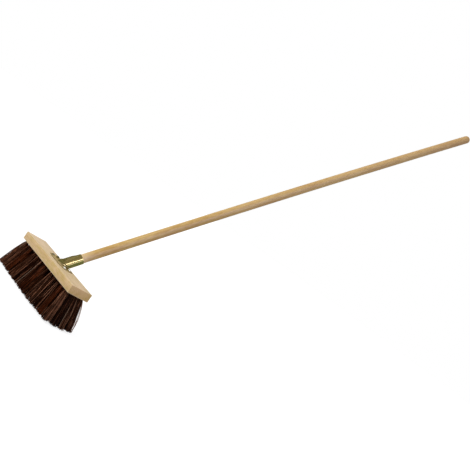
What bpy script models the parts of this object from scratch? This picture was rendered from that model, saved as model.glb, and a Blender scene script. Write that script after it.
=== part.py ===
"""Street broom.

A flat wooden block carries fifty-two round tufts of stiff bristle in four rows. A pressed steel
holder is screwed on its top, and a round wooden handle sits in the holder's slanting tube, where
one more screw keeps it from turning or pulling out.

All sizes are metres and +Z is up. The block lies level with its length along X, and the handle
leans back towards +Y. The floor is z = 0. The origin is the trimmed tip of the middle strand of
the third row's middle tuft, so the block's middle line lies half a row in front of it.
"""

import math

import bmesh
import bpy
from mathutils import Matrix, Vector

# Clearances that every piece shares
SEAT_GAP = 0.0003
CUT_OVERRUN = 0.003
WELD_SHARE = 0.01
CRISP_EDGE = math.radians(35.0)

# Wooden block
BLOCK_LENGTH = 0.400
BLOCK_WIDTH = 0.072
BLOCK_HEIGHT = 0.025
BLOCK_ARRIS = 0.0018
BLOCK_EASING = 0.0007

# Tuft pattern: how many tufts a row has, and how the rows lean, front to back
TUFTS_IN_ROW = 13
ROW_LEANS = (math.radians(-9.0), math.radians(-3.5), 0.0, math.radians(4.0))
END_MARGIN = 0.025
EDGE_MARGIN = 0.009
FAN_LEAN = math.radians(12.8)

# One tuft: its root sits in a blind hole, and its strands spread from there to the floor
ROOT_RADIUS = 0.0056
ROOT_DEPTH = 0.014
ROOT_SIDES = 8
HOLE_SIDES = 12
BRISTLE_REACH = 0.102
TRIM_DEPTH = 0.0005
RING_STRANDS = 7
RING_MARGIN = 0.0009
STRAND_GAP = 0.00035
STRAND_SIDES = 3
STRAND_BURY = 0.0012
SPREAD_ALONG = 0.0125
SPREAD_ACROSS = 0.0100
RING_RISE = 0.0045
RISE_WAVER = 0.0016
TURN_PER_TUFT = math.radians(137.5)
BEND_DROP_SHARE = 0.40
BEND_SPREAD_SHARE = 0.55
TIP_TAPER_SHARE = 0.85

# Wooden handle
HANDLE_LENGTH = 1.600
HANDLE_RADIUS = 0.014
HANDLE_TILT = math.radians(46.5)
HANDLE_END_CHAMFER = 0.002
HANDLE_SIDES = 32
DOME_STEPS = 6

# Pressed steel holder: its tube
SHEET = 0.0012
HANDLE_CLEARANCE = 0.0005
TUBE_LENGTH = 0.0575
TUBE_TAPER = 0.0010
TUBE_SETBACK = 0.021
TUBE_SIDES = 32
FLARE_LENGTH = 0.012
FLARE_SPREAD = 0.0025
FLARE_STEPS = 5
HANDLE_INSET = 0.017
SEAM_WIDTH = 0.0012

# Pressed steel holder: its stiffening rib
RIB_RADIUS = 0.0050
RIB_TUBE_HEIGHT = 0.0040
RIB_FLANGE_HEIGHT = 0.0020
RIB_BEND = 0.008
RIB_END_TO_MOUTH = 0.006
RIB_END_TAPER = 0.020
RIB_FRONT_MARGIN = 0.004
RIB_HOLLOW_INSET = 0.0036
RIB_START_SHARE = 0.5
RIB_END_SHARE = 0.25
RIB_SIDES = 8

# Pressed steel holder: its flange
FLANGE_MARGIN = 0.0185
FLANGE_SHOULDER = 0.030
FLANGE_REACH_FRONT = 0.012
FLANGE_SWEEP = 0.009
FLANGE_REACH_BACK = 0.028
FLANGE_TIP_RETURN = 0.004
FLANGE_CORNER_RADIUS = 0.011
FLANGE_SHOULDER_RADIUS = 0.024
ARC_STEPS = 6

# Round-head screws
SCREW_HEAD_RADIUS = 0.0043
SCREW_HEAD_HEIGHT = 0.0028
SCREW_RIM = 0.0006
SCREW_SHANK_RADIUS = 0.0021
SCREW_LENGTH = 0.016
SCREW_POINT = 0.0045
SCREW_SIDES = 16
RECESS_WIDTH = 0.0011
RECESS_SPAN = 0.0042
RECESS_DEPTH = 0.0013
SCREW_CLEARANCE = 0.0004
SCREW_PITCH_SHARE = 1.71
HANDLE_SCREW_STATION = 0.042

# Sizes and places worked out from the others
RING_CHORD_SHARE = math.sin(math.pi / RING_STRANDS)
RING_RADIUS = (ROOT_RADIUS - RING_MARGIN + STRAND_GAP / 2) / (1 + RING_CHORD_SHARE)
STRAND_RADIUS = RING_RADIUS * RING_CHORD_SHARE - STRAND_GAP / 2
TUFT_PITCH = (BLOCK_LENGTH - 2 * END_MARGIN) / (TUFTS_IN_ROW - 1)
ROW_PITCH = (BLOCK_WIDTH - 2 * EDGE_MARGIN) / (len(ROW_LEANS) - 1)
SCREW_X = SCREW_PITCH_SHARE * TUFT_PITCH
FLANGE_HALF_SPAN = SCREW_X + FLANGE_MARGIN
BLOCK_BOTTOM = BRISTLE_REACH
BLOCK_TOP = BLOCK_BOTTOM + BLOCK_HEIGHT
BLOCK_MIDDLE_Y = -ROW_PITCH / 2
FLANGE_BOTTOM = BLOCK_TOP + SEAT_GAP
FLANGE_TOP = FLANGE_BOTTOM + SHEET
BORE_RADIUS = HANDLE_RADIUS + HANDLE_CLEARANCE
TUBE_RADIUS = BORE_RADIUS + SHEET
AXIS_FOOT = Vector((0.0, BLOCK_MIDDLE_Y + TUBE_SETBACK, BLOCK_TOP))
AXIS_TURN = Matrix.Rotation(HANDLE_TILT - math.pi / 2, 4, "X")
AXIS_DIRECTION = AXIS_TURN @ Vector((0.0, 0.0, 1.0))
TUBE_FRONT = AXIS_TURN @ Vector((0.0, -1.0, 0.0))


def clear_scene():
    for obj in list(bpy.data.objects):
        bpy.data.objects.remove(obj, do_unlink=True)


def new_collection(name):
    collection = bpy.data.collections.new(name)
    bpy.context.scene.collection.children.link(collection)
    return collection


def new_material(name, colour, roughness, metallic=0.0):
    material = bpy.data.materials.new(name)
    material.use_nodes = True
    shader = material.node_tree.nodes["Principled BSDF"]
    shader.inputs["Base Color"].default_value = (*colour, 1.0)
    shader.inputs["Roughness"].default_value = roughness
    shader.inputs["Metallic"].default_value = metallic
    return material


clear_scene()
PARTS = new_collection("street_broom")
HELPERS = new_collection("cutters_and_guides")
BEECH = new_material("beech_block", (0.62, 0.45, 0.26), 0.55)
HANDLE_WOOD = new_material("handle_wood", (0.58, 0.38, 0.19), 0.50)
YELLOW_ZINC = new_material("yellow_zinc", (0.46, 0.42, 0.15), 0.30, 1.0)
BRIGHT_ZINC = new_material("bright_zinc", (0.50, 0.49, 0.44), 0.32, 1.0)
BRISTLE = new_material("brown_bristle", (0.045, 0.017, 0.012), 0.45)


def add_part(name, mesh, material, matrix=None):
    obj = bpy.data.objects.new(name, mesh)
    mesh.materials.clear()
    mesh.materials.append(material)
    PARTS.objects.link(obj)
    if matrix is not None:
        obj.matrix_world = matrix
    return obj


def add_helper(name, data, matrix=None):
    """A cutter, a guide, or a shape that is joined to a part: it is never a piece by itself."""
    obj = bpy.data.objects.new(name, data)
    HELPERS.objects.link(obj)
    obj.hide_render = True
    obj.display_type = "WIRE"
    if matrix is not None:
        obj.matrix_world = matrix
    return obj


def mesh_from(bm, name):
    bmesh.ops.recalc_face_normals(bm, faces=bm.faces)
    mesh = bpy.data.meshes.new(name)
    bm.to_mesh(mesh)
    bm.free()
    return mesh


def add_cylinder(bm, radius, bottom, top, sides, centre=(0.0, 0.0)):
    """An upright cylinder between two heights, added to a mesh in the making."""
    middle = Vector((centre[0], centre[1], (bottom + top) / 2))
    bmesh.ops.create_cone(
        bm,
        cap_ends=True,
        segments=sides,
        radius1=radius,
        radius2=radius,
        depth=top - bottom,
        matrix=Matrix.Translation(middle),
    )


def box_mesh(name, low, high):
    """A box between two opposite corners."""
    bm = bmesh.new()
    low, high = Vector(low), Vector(high)
    size = Matrix.Diagonal((*(high - low), 1.0))
    bmesh.ops.create_cube(bm, size=1.0, matrix=Matrix.Translation((low + high) / 2) @ size)
    return mesh_from(bm, name)


def evaluated_mesh(obj):
    """The mesh of an object with its modifiers or its curve bevel worked in, and caps welded."""
    bpy.context.view_layer.update()
    graph = bpy.context.evaluated_depsgraph_get()
    mesh = bpy.data.meshes.new_from_object(obj.evaluated_get(graph))
    bm = bmesh.new()
    bm.from_mesh(mesh)
    bmesh.ops.remove_doubles(bm, verts=bm.verts, dist=SEAT_GAP * WELD_SHARE)
    bm.to_mesh(mesh)
    bm.free()
    return mesh


def curve_to_helper(obj):
    """A mesh helper in the place of a curve, which a Boolean can't take."""
    mesh = evaluated_mesh(obj)
    bm = bmesh.new()
    bm.from_mesh(mesh)
    bmesh.ops.recalc_face_normals(bm, faces=bm.faces)
    bm.to_mesh(mesh)
    bm.free()
    name = obj.name
    matrix = obj.matrix_world.copy()
    bpy.data.objects.remove(obj, do_unlink=True)
    return add_helper(name, mesh, matrix)


def boolean(obj, helper, operation, solver="EXACT"):
    modifier = obj.modifiers.new(f"{operation.lower()} {helper.name}", "BOOLEAN")
    modifier.object = helper
    modifier.operation = operation
    modifier.solver = solver


def add_screw_modifier(obj, steps):
    """Turns a profile about Z. The profile runs from its top to its bottom at +X."""
    screw = obj.modifiers.new("turned", "SCREW")
    screw.steps = steps
    screw.render_steps = steps
    screw.use_merge_vertices = True
    screw.merge_threshold = SEAT_GAP * WELD_SHARE
    screw.use_smooth_shade = True


def profile_mesh(name, profile):
    mesh = bpy.data.meshes.new(name)
    points = [(radius, 0.0, height) for radius, height in profile]
    mesh.from_pydata(points, [(i, i + 1) for i in range(len(points) - 1)], [])
    return mesh


def poly_curve(name, path, closed=False, dimensions="3D", radii=None):
    """A curve object's data with one straight-sided spline through the points."""
    curve = bpy.data.curves.new(name, "CURVE")
    curve.dimensions = dimensions
    add_spline(curve, path, closed, radii)
    return curve


def add_spline(curve, path, closed=False, radii=None):
    spline = curve.splines.new("POLY")
    spline.points.add(len(path) - 1)
    spline.use_cyclic_u = closed
    for index, place in enumerate(path):
        spline.points[index].co = (*place, 1.0)
        if radii is not None:
            spline.points[index].radius = radii[index]


def rounded_corners(corners, radii, closed=True):
    """The outline with each corner replaced by an arc of its own radius, where that isn't zero."""
    outline = []
    for index, corner in enumerate(corners):
        ends = not closed and index in (0, len(corners) - 1)
        if ends or radii[index] == 0:
            outline.append(corner.copy())
            continue
        to_last = (corners[index - 1] - corner).normalized()
        to_next = (corners[(index + 1) % len(corners)] - corner).normalized()
        half = to_last.angle(to_next) / 2
        start = corner + to_last * (radii[index] / math.tan(half))
        centre = corner + (to_last + to_next).normalized() * (radii[index] / math.sin(half))
        for step in range(ARC_STEPS + 1):
            turn = (math.pi - 2 * half) * step / ARC_STEPS
            outward = (start - centre) * math.cos(turn)
            outline.append(centre + outward - to_last * (radii[index] * math.sin(turn)))
    return outline


def shade_round(mesh):
    """Smooth shading that keeps the edges of a round shape's ends crisp."""
    mesh.shade_smooth()
    mesh.set_sharp_from_angle(angle=CRISP_EDGE)


def tuft_places():
    """Row number, number in the row, and the middle of the root's lower face, for each tuft."""
    places = []
    for row in range(len(ROW_LEANS)):
        y = BLOCK_MIDDLE_Y + (row - (len(ROW_LEANS) - 1) / 2) * ROW_PITCH
        for number in range(TUFTS_IN_ROW):
            x = (number - (TUFTS_IN_ROW - 1) / 2) * TUFT_PITCH
            places.append((row, number, Vector((x, y, BLOCK_BOTTOM))))
    return places


def flange_screw_places():
    """Screws pass between the tufts: two each side, on the block's middle line and a row behind."""
    return [
        Vector((side * SCREW_X, BLOCK_MIDDLE_Y + row * ROW_PITCH, FLANGE_TOP + SEAT_GAP))
        for side in (-1, 1)
        for row in (0, 1)
    ]


def build_block():
    """A planed board with chamfered lower edges, blind holes for the tufts and screw holes."""
    half = Vector((BLOCK_LENGTH, BLOCK_WIDTH, BLOCK_HEIGHT)) / 2
    middle = Vector((0.0, BLOCK_MIDDLE_Y, (BLOCK_BOTTOM + BLOCK_TOP) / 2))
    bm = bmesh.new()
    bm.from_mesh(box_mesh("block_blank", -half, half))
    lower = [edge for edge in bm.edges if all(vert.co.z < 0 for vert in edge.verts)]
    bmesh.ops.bevel(bm, geom=lower, offset=BLOCK_ARRIS, segments=1, profile=0.5, affect="EDGES")
    upper = [edge for edge in bm.edges if all(vert.co.z > 0 for vert in edge.verts)]
    bmesh.ops.bevel(bm, geom=upper, offset=BLOCK_EASING, segments=1, profile=0.5, affect="EDGES")
    block = add_part("block", mesh_from(bm, "block"), BEECH, Matrix.Translation(middle))

    bm = bmesh.new()
    hole_radius = (ROOT_RADIUS + SEAT_GAP) / math.cos(math.pi / HOLE_SIDES)
    for _, _, place in tuft_places():
        top = place.z + ROOT_DEPTH + SEAT_GAP
        add_cylinder(bm, hole_radius, place.z - CUT_OVERRUN, top, HOLE_SIDES, place)
    pilot_radius = SCREW_SHANK_RADIUS + SCREW_CLEARANCE
    for place in flange_screw_places():
        bottom = place.z - SCREW_LENGTH - SEAT_GAP
        add_cylinder(bm, pilot_radius, bottom, BLOCK_TOP + CUT_OVERRUN, SCREW_SIDES, place)
    boolean(block, add_helper("block_holes", mesh_from(bm, "block_holes")), "DIFFERENCE")
    return block


def strand_section():
    """The three-sided outline that every strand is swept from."""
    corners = [
        Vector((math.cos(turn), math.sin(turn), 0.0)) * STRAND_RADIUS
        for turn in (2 * math.pi * side / STRAND_SIDES for side in range(STRAND_SIDES))
    ]
    return add_helper("strand_section", poly_curve("strand_section", corners, closed=True, dimensions="2D"))


def strand_paths(order, lean_x, lean_y):
    """The straight middle strand, then the ring of bent ones, from the root's lower face down."""
    foot = Vector((math.tan(lean_x), math.tan(lean_y), -1.0)) * (BRISTLE_REACH + TRIM_DEPTH)
    bend = foot * BEND_DROP_SHARE
    paths = [[Vector((0.0, 0.0, STRAND_BURY)), foot]]
    for strand in range(RING_STRANDS):
        turn = 2 * math.pi * strand / RING_STRANDS + order * TURN_PER_TUFT
        round_root = Vector((math.cos(turn), math.sin(turn), 0.0)) * RING_RADIUS
        spread = Vector((math.cos(turn) * SPREAD_ALONG, math.sin(turn) * SPREAD_ACROSS, 0.0))
        rise = Vector((0.0, 0.0, RING_RISE + RISE_WAVER * math.sin(3 * turn + order)))
        start = round_root + Vector((0.0, 0.0, STRAND_BURY))
        middle = bend + round_root.lerp(spread, BEND_SPREAD_SHARE)
        paths.append([start, middle, foot + spread + rise])
    return paths


def trim_at_floor(mesh, floor):
    """Cuts off what reaches below the floor, and closes each strand with a flat end."""
    bm = bmesh.new()
    bm.from_mesh(mesh)
    everything = bm.verts[:] + bm.edges[:] + bm.faces[:]
    bmesh.ops.bisect_plane(bm, geom=everything, plane_co=floor, plane_no=(0.0, 0.0, -1.0), clear_outer=True)
    bmesh.ops.holes_fill(bm, edges=[edge for edge in bm.edges if edge.is_boundary])
    bmesh.ops.recalc_face_normals(bm, faces=bm.faces)
    bm.to_mesh(mesh)
    bm.free()


def build_tuft(order, row, number, place, section):
    """The folded root in its hole, and one middle strand with a ring of others round it."""
    end_x = (TUFTS_IN_ROW - 1) / 2 * TUFT_PITCH
    lean_x = FAN_LEAN * place.x / end_x
    curve = bpy.data.curves.new("strands", "CURVE")
    curve.dimensions = "3D"
    curve.bevel_mode = "OBJECT"
    curve.bevel_object = section
    curve.use_fill_caps = True
    for path in strand_paths(order, lean_x, ROW_LEANS[row]):
        add_spline(curve, path, radii=[1.0] * (len(path) - 1) + [TIP_TAPER_SHARE])
    strands = curve_to_helper(add_helper("strands", curve))

    bm = bmesh.new()
    add_cylinder(bm, ROOT_RADIUS, 0.0, ROOT_DEPTH, ROOT_SIDES)
    root = add_helper("root", mesh_from(bm, "root"))
    boolean(root, strands, "UNION")
    mesh = evaluated_mesh(root)
    for helper in (root, strands):
        bpy.data.objects.remove(helper, do_unlink=True)
    trim_at_floor(mesh, Vector((0.0, 0.0, -place.z)))
    mesh.name = f"tuft_{row + 1}_{number + 1:02d}"
    return add_part(mesh.name, mesh, BRISTLE, Matrix.Translation(place))


def build_tufts():
    section = strand_section()
    for order, (row, number, place) in enumerate(tuft_places()):
        build_tuft(order, row, number, place, section)


def axis_matrix(station=0.0):
    """A place on the handle's axis, with its own Z along the handle."""
    return Matrix.Translation(AXIS_FOOT + AXIS_DIRECTION * station) @ AXIS_TURN


def taper_at(station):
    """How much wider than its mouth the tube is at a station above the flare."""
    return TUBE_TAPER * (TUBE_LENGTH - station) / (TUBE_LENGTH - FLARE_LENGTH)


def handle_screw_matrix():
    """The screw that holds the handle comes in square to the tube, from its left side."""
    wall = TUBE_RADIUS + taper_at(HANDLE_SCREW_STATION)
    seat = Matrix.Translation((-wall - SEAT_GAP, 0.0, 0.0))
    return axis_matrix(HANDLE_SCREW_STATION) @ seat @ Matrix.Rotation(-math.pi / 2, 4, "Y")


def screw_bore(name, matrix):
    """A cutter round a screw's shank, from past its head to just past its point."""
    bm = bmesh.new()
    radius = SCREW_SHANK_RADIUS + SCREW_CLEARANCE
    add_cylinder(bm, radius, -SCREW_LENGTH - SEAT_GAP, CUT_OVERRUN, SCREW_SIDES)
    return add_helper(name, mesh_from(bm, name), matrix)


def build_handle(screw_hole):
    """A turned stick with a domed top, and a chamfered lower end that sits in the holder."""
    top = HANDLE_LENGTH - HANDLE_RADIUS
    dome = [
        (HANDLE_RADIUS * math.sin(turn), top + HANDLE_RADIUS * math.cos(turn))
        for turn in (math.pi / 2 * step / DOME_STEPS for step in range(DOME_STEPS + 1))
    ]
    end = [(HANDLE_RADIUS, HANDLE_END_CHAMFER), (HANDLE_RADIUS - HANDLE_END_CHAMFER, 0.0), (0.0, 0.0)]
    mesh = profile_mesh("handle", dome + end)
    handle = add_part("handle", mesh, HANDLE_WOOD, axis_matrix(HANDLE_INSET))
    add_screw_modifier(handle, HANDLE_SIDES)
    boolean(handle, screw_hole, "DIFFERENCE")
    return handle


def flared_tube(name, mouth_radius, overrun=0.0):
    """The tube's wall line: it widens a little down from its mouth, and more at its foot."""
    profile = [(0.0, TUBE_LENGTH + overrun), (mouth_radius, TUBE_LENGTH + overrun)]
    if overrun:
        profile.append((mouth_radius, TUBE_LENGTH))
    radius = mouth_radius + TUBE_TAPER
    profile.append((radius, FLARE_LENGTH))
    for step in range(1, FLARE_STEPS + 1):
        share = step / FLARE_STEPS
        profile.append((radius + FLARE_SPREAD * share**2, FLARE_LENGTH * (1 - share)))
    foot_radius = profile[-1][0]
    profile += [(foot_radius, -foot_radius - CUT_OVERRUN), (0.0, -foot_radius - CUT_OVERRUN)]
    helper = add_helper(name, profile_mesh(name, profile), axis_matrix())
    add_screw_modifier(helper, TUBE_SIDES)
    return helper


def flange_outline():
    """The flange seen from above: a straight front, swept tips and a straight back."""
    front = BLOCK_MIDDLE_Y - FLANGE_REACH_FRONT
    back = BLOCK_MIDDLE_Y + FLANGE_REACH_BACK
    right = [
        Vector((FLANGE_SHOULDER, front, 0.0)),
        Vector((FLANGE_HALF_SPAN, front + FLANGE_SWEEP, 0.0)),
        Vector((FLANGE_HALF_SPAN - FLANGE_TIP_RETURN, back, 0.0)),
    ]
    radii = [FLANGE_SHOULDER_RADIUS, FLANGE_CORNER_RADIUS, FLANGE_CORNER_RADIUS]
    left = [Vector((-corner.x, corner.y, 0.0)) for corner in reversed(right)]
    return rounded_corners(right + left, radii + radii[::-1])


def rib_path(drawn_in):
    """The middle of the rib: along the flange, round the bend and up the tube's front."""
    flange_height = FLANGE_TOP + RIB_FLANGE_HEIGHT - RIB_RADIUS
    on_tube = AXIS_FOOT + TUBE_FRONT * (TUBE_RADIUS + RIB_TUBE_HEIGHT - RIB_RADIUS)
    corner = on_tube + AXIS_DIRECTION * ((flange_height - on_tube.z) / AXIS_DIRECTION.z)
    front = BLOCK_MIDDLE_Y - FLANGE_REACH_FRONT + RIB_FRONT_MARGIN + drawn_in
    start = Vector((0.0, front, flange_height))
    end = on_tube + AXIS_DIRECTION * (TUBE_LENGTH - RIB_END_TO_MOUTH - drawn_in)
    taper = end - AXIS_DIRECTION * RIB_END_TAPER
    return rounded_corners([start, corner, taper, end], [0, RIB_BEND, 0, 0], closed=False)


def rib_solid(name, radius, drawn_in=0.0):
    """A round bar on the rib's line, slimmer towards its ends."""
    path = rib_path(drawn_in)
    radii = [RIB_START_SHARE] + [1.0] * (len(path) - 2) + [RIB_END_SHARE]
    curve = poly_curve(name, path, radii=radii)
    curve.bevel_depth = radius
    curve.bevel_resolution = (RIB_SIDES - 4) // 2
    curve.use_fill_caps = True
    return curve_to_helper(add_helper(name, curve))


def press(holder, helper, operation):
    """A Boolean on the holder, where many nearly touching round walls need the manifold solver."""
    boolean(holder, helper, operation, solver="MANIFOLD")


def build_holder(handle_screw_hole):
    """One sheet: a flange with swept wings, a rolled tube that flares into it, and a rib."""
    half_blank = (SHEET + CUT_OVERRUN) / 2
    outline = poly_curve("handle_holder", flange_outline(), closed=True, dimensions="2D")
    outline.fill_mode = "BOTH"
    outline.extrude = half_blank
    flange = add_helper("flange", outline)
    mesh = evaluated_mesh(flange)
    bpy.data.objects.remove(flange, do_unlink=True)
    place = Vector((0.0, 0.0, FLANGE_TOP - half_blank))
    holder = add_part("handle_holder", mesh, YELLOW_ZINC, Matrix.Translation(place))

    tube = flared_tube("tube_outside", TUBE_RADIUS)
    bore = flared_tube("tube_inside", BORE_RADIUS, CUT_OVERRUN)
    press(holder, tube, "UNION")
    press(holder, rib_solid("rib_outside", RIB_RADIUS), "UNION")
    hollow = rib_solid("rib_inside", RIB_RADIUS - SHEET, RIB_HOLLOW_INSET)
    press(holder, hollow, "DIFFERENCE")
    press(holder, bore, "DIFFERENCE")

    reach = FLANGE_HALF_SPAN + TUBE_LENGTH
    low = Vector((-reach, -reach, -reach))
    below = box_mesh("below_flange", low, Vector((reach, reach, FLANGE_BOTTOM)))
    press(holder, add_helper("below_flange", below), "DIFFERENCE")
    low = Vector((-SEAM_WIDTH / 2, 0.0, -reach))
    seam = box_mesh("tube_seam", low, Vector((SEAM_WIDTH / 2, reach, reach)))
    press(holder, add_helper("tube_seam", seam, axis_matrix()), "DIFFERENCE")

    for number, screw_place in enumerate(flange_screw_places(), start=1):
        hole = screw_bore(f"flange_hole_{number}", Matrix.Translation(screw_place))
        press(holder, hole, "DIFFERENCE")
    press(holder, handle_screw_hole, "DIFFERENCE")
    return holder


def screw_mesh():
    """A round-head screw with a cross recess. Its head's underside is z = 0, and its point is down."""
    dome = [
        (SCREW_HEAD_RADIUS * math.sin(turn), SCREW_RIM + (SCREW_HEAD_HEIGHT - SCREW_RIM) * math.cos(turn))
        for turn in (math.pi / 2 * step / ARC_STEPS for step in range(ARC_STEPS + 1))
    ]
    shank = [
        (SCREW_HEAD_RADIUS, 0.0),
        (SCREW_SHANK_RADIUS, 0.0),
        (SCREW_SHANK_RADIUS, SCREW_POINT - SCREW_LENGTH),
        (0.0, -SCREW_LENGTH),
    ]
    screw = add_helper("screw", profile_mesh("screw", dome + shank))
    add_screw_modifier(screw, SCREW_SIDES)
    bottom = SCREW_HEAD_HEIGHT - RECESS_DEPTH
    high = Vector((RECESS_SPAN / 2, RECESS_WIDTH / 2, SCREW_HEAD_HEIGHT + CUT_OVERRUN))
    low = Vector((-high.x, -high.y, bottom))
    arms = []
    for turn in (0.0, math.pi / 2):
        arm = box_mesh("recess_arm", low, high)
        arms.append(add_helper("recess_arm", arm, Matrix.Rotation(turn, 4, "Z")))
        boolean(screw, arms[-1], "DIFFERENCE")
    mesh = evaluated_mesh(screw)
    shade_round(mesh)
    for helper in (screw, *arms):
        bpy.data.objects.remove(helper, do_unlink=True)
    return mesh


def build_screws():
    mesh = screw_mesh()
    for number, place in enumerate(flange_screw_places(), start=1):
        add_part(f"holder_screw_{number}", mesh, BRIGHT_ZINC, Matrix.Translation(place))
    add_part("handle_screw", mesh, BRIGHT_ZINC, handle_screw_matrix())


def main():
    build_block()
    build_tufts()
    handle_screw_hole = screw_bore("handle_screw_hole", handle_screw_matrix())
    build_handle(handle_screw_hole)
    build_holder(handle_screw_hole)
    build_screws()
    bpy.context.view_layer.update()


main()
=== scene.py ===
"""Looks of the street broom: planed block, turned handle, pressed steel socket, screws and bristles.

All sizes are metres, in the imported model's own frame: the floor is z = 0, the block lies along X and
the handle leans back towards +Y.
"""

import math
import random

import bmesh
import bpy
from mathutils import Matrix, Vector


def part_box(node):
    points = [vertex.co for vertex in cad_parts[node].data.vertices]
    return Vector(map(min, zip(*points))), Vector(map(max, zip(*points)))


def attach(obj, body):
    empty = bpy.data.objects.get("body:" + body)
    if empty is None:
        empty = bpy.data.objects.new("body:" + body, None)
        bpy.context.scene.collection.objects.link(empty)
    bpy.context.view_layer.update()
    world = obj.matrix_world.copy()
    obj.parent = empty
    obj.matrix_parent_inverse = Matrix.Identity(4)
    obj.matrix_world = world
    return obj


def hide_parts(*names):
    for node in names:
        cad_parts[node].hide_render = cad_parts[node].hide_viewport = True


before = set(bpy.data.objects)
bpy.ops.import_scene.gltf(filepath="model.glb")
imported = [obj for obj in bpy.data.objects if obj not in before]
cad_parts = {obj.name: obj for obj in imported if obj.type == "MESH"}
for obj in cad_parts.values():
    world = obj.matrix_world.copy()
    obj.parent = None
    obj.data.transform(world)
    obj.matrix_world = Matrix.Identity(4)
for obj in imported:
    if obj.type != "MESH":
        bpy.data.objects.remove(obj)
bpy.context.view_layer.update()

BODY = "root"

# What the frame says
BLOCK_LOW, BLOCK_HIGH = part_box("block")
BLOCK_MIDDLE = (BLOCK_LOW + BLOCK_HIGH) / 2
HOLDER_LOW, HOLDER_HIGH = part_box("handle_holder")
FLANGE_BOTTOM = HOLDER_LOW.z
SEAT_GAP = FLANGE_BOTTOM - BLOCK_HIGH.z

# Block and its holes
BLOCK_ARRIS = 0.0018
BLOCK_EASING = 0.0008
BLOCK_PITH = (0.0, 0.055, -0.062)
HOLE_RADIUS = 0.0060
HOLE_DEPTH = 0.0143
HOLE_RIM = 0.0005
HOLE_SIDES = 28
PILOT_SIDES = 20

# Tufts
TUFT_ROWS = 4
TUFTS_IN_ROW = 13
TUFT_SEED = 3
TIP_BAND_SHARE = 0.15
ROOT_RADIUS = 0.0055
ROOT_BURY = 0.006
TIP_ALONG = 0.0158
TIP_ACROSS = 0.0130
TIP_RISE = 0.0024
TIP_WAVER = 0.0010

# Strands. A splay power under 1 spreads them soon below the block, and one over 1 late
STRANDS = 150
STRAND_RADIUS = 0.00056
STRAND_STEPS = 6
STRAND_WAVE = 0.0009
WAVE_TURN = 5.0
LEAST_SHARE = 0.1
GOLDEN_TURN = math.radians(137.508)
TURN_SCATTER = 0.15
GATHER_SCATTER = 0.07
RUN_POWER = 1.4
RISE_POWER = 2.2
LEFT_END_SPLAY = (0.40, 0.66)
QUICK_SPLAY = (0.50, 0.85)
SLOW_SPLAY = (0.78, 1.10)
INNER_FRONT_REACH = 0.13
OUTER_SHARE = 0.8
OUTER_FLING = (-0.22, 0.20)
THICKNESS_SHARES = (0.80, 1.35)
TIP_THICKNESS_SHARE = 0.8

# Locks are strands that cling together and share a tone, from 0, dark, to 1, pale
LOCKS = 42
LOCK_PULL = 0.76
LOCK_TURN_SCATTER = 0.4
LOCK_TONES = (0.02, 0.05, 0.10, 0.34, 0.44, 0.52, 0.72)
THIRD_TONES = (-0.01, 0.07, -0.02)
TONE_SCATTER = 0.27
TONE_LIMIT = 0.97
PALE_TONE = 1.0
PALE_SHARE = 0.015
END_PALE_SHARE = 0.05
RED_SHARES = (0.34, 0.06)
RED_SCATTER = 0.22
RUSTY_TUFTS = ("tuft_1_03", "tuft_1_12")

# Stray strands outside the end tufts, counted by tuft
STRAYS = {
    "tuft_4_13": 9,
    "tuft_4_12": 3,
    "tuft_3_13": 2,
    "tuft_1_01": 4,
    "tuft_2_01": 1,
    "tuft_3_01": 1,
}
STRAY_START_SHARE = 0.9
STRAY_BULGES = (0.0020, 0.0080)
STRAY_LEFT_SHARE = 0.4
STRAY_TURNS = (0.3, 1.4)
STRAY_REACHES = (0.85, 1.05)
STRAY_RISE = 0.006
STRAY_POWER = 0.6
STRAY_THICKNESS_SHARES = (0.75, 0.6)
STRAY_TONES = (0.80, 0.80, PALE_TONE)

# Wear of the tips, and how far along the block the right end's wear starts and is full
FRONT_BULGE = 0.0055
END_LIFTS = (0.0034, 0.0002, 0.0, 0.0034)
END_LIFT_START = 0.05
END_LIFT_FULL = 0.16

# Handle
HANDLE_RADIUS = 0.014
HANDLE_TILT = math.radians(46.5)
HANDLE_INSET = 0.017
HANDLE_LENGTH = 1.600
HANDLE_BOW = 0.0040
HANDLE_SIDES = 72
HANDLE_RINGS = 90
HANDLE_CHAMFER = 0.002
DOME_RINGS = 9
DOME_TIP_SHARE = 0.35
HANDLE_PITH = (0.026, 0.034)
HANDLE_GRAIN_SHIFT = 0.21
HANDLE_CLEAN_REACH = 0.045
HANDLED_FROM = 0.10

# Pressed steel holder
SHEET = 0.0012
BORE_RADIUS = 0.0145
TUBE_RADIUS = BORE_RADIUS + SHEET
TUBE_LENGTH = 0.0575
TUBE_SETBACK = 0.021
TUBE_TAPER = 0.0010
TUBE_SIDES = 96
FLARE_LENGTH = 0.012
FLARE_SPREAD = 0.0025
FLARE_STEPS = 12
MOUTH_TRIM = 0.0004
SEAM_WIDTH = 0.0012
RIB_RADIUS = 0.0050
RIB_TUBE_HEIGHT = 0.0040
RIB_FLANGE_HEIGHT = 0.0020
RIB_BEND = 0.008
RIB_END_TO_MOUTH = 0.006
RIB_END_TAPER = 0.020
RIB_FRONT_MARGIN = 0.004
RIB_START_SHARE = 0.5
RIB_END_SHARE = 0.25
RIB_HOLLOW_INSET = 0.0036
RIB_SIDE_STEPS = 14
FLANGE_BACK_REACH = 0.028
FLANGE_SHOULDER = 0.030
FLANGE_SWEEP = 0.009
FLANGE_TIP_RETURN = 0.004
FLANGE_TIP_ROUNDED_SHARE = 0.28
FLANGE_CORNER_RADIUS = 0.011
FLANGE_SHOULDER_RADIUS = 0.024
CORNER_STEPS = 8
SKIN_VOXEL = 0.0006
FILLET_REACH = 0.0032
RIB_EASING = 0.002
RIB_EASING_SHARE = 0.25
SHEET_EDGE_SHARE = 0.6
WALL_HOLD = 5.0

# Factor and passes of the smoothing of the creases, and of the whole skin
CREASE_SMOOTHING = (0.7, 24)
SKIN_SMOOTHING = (0.5, 3)

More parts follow.
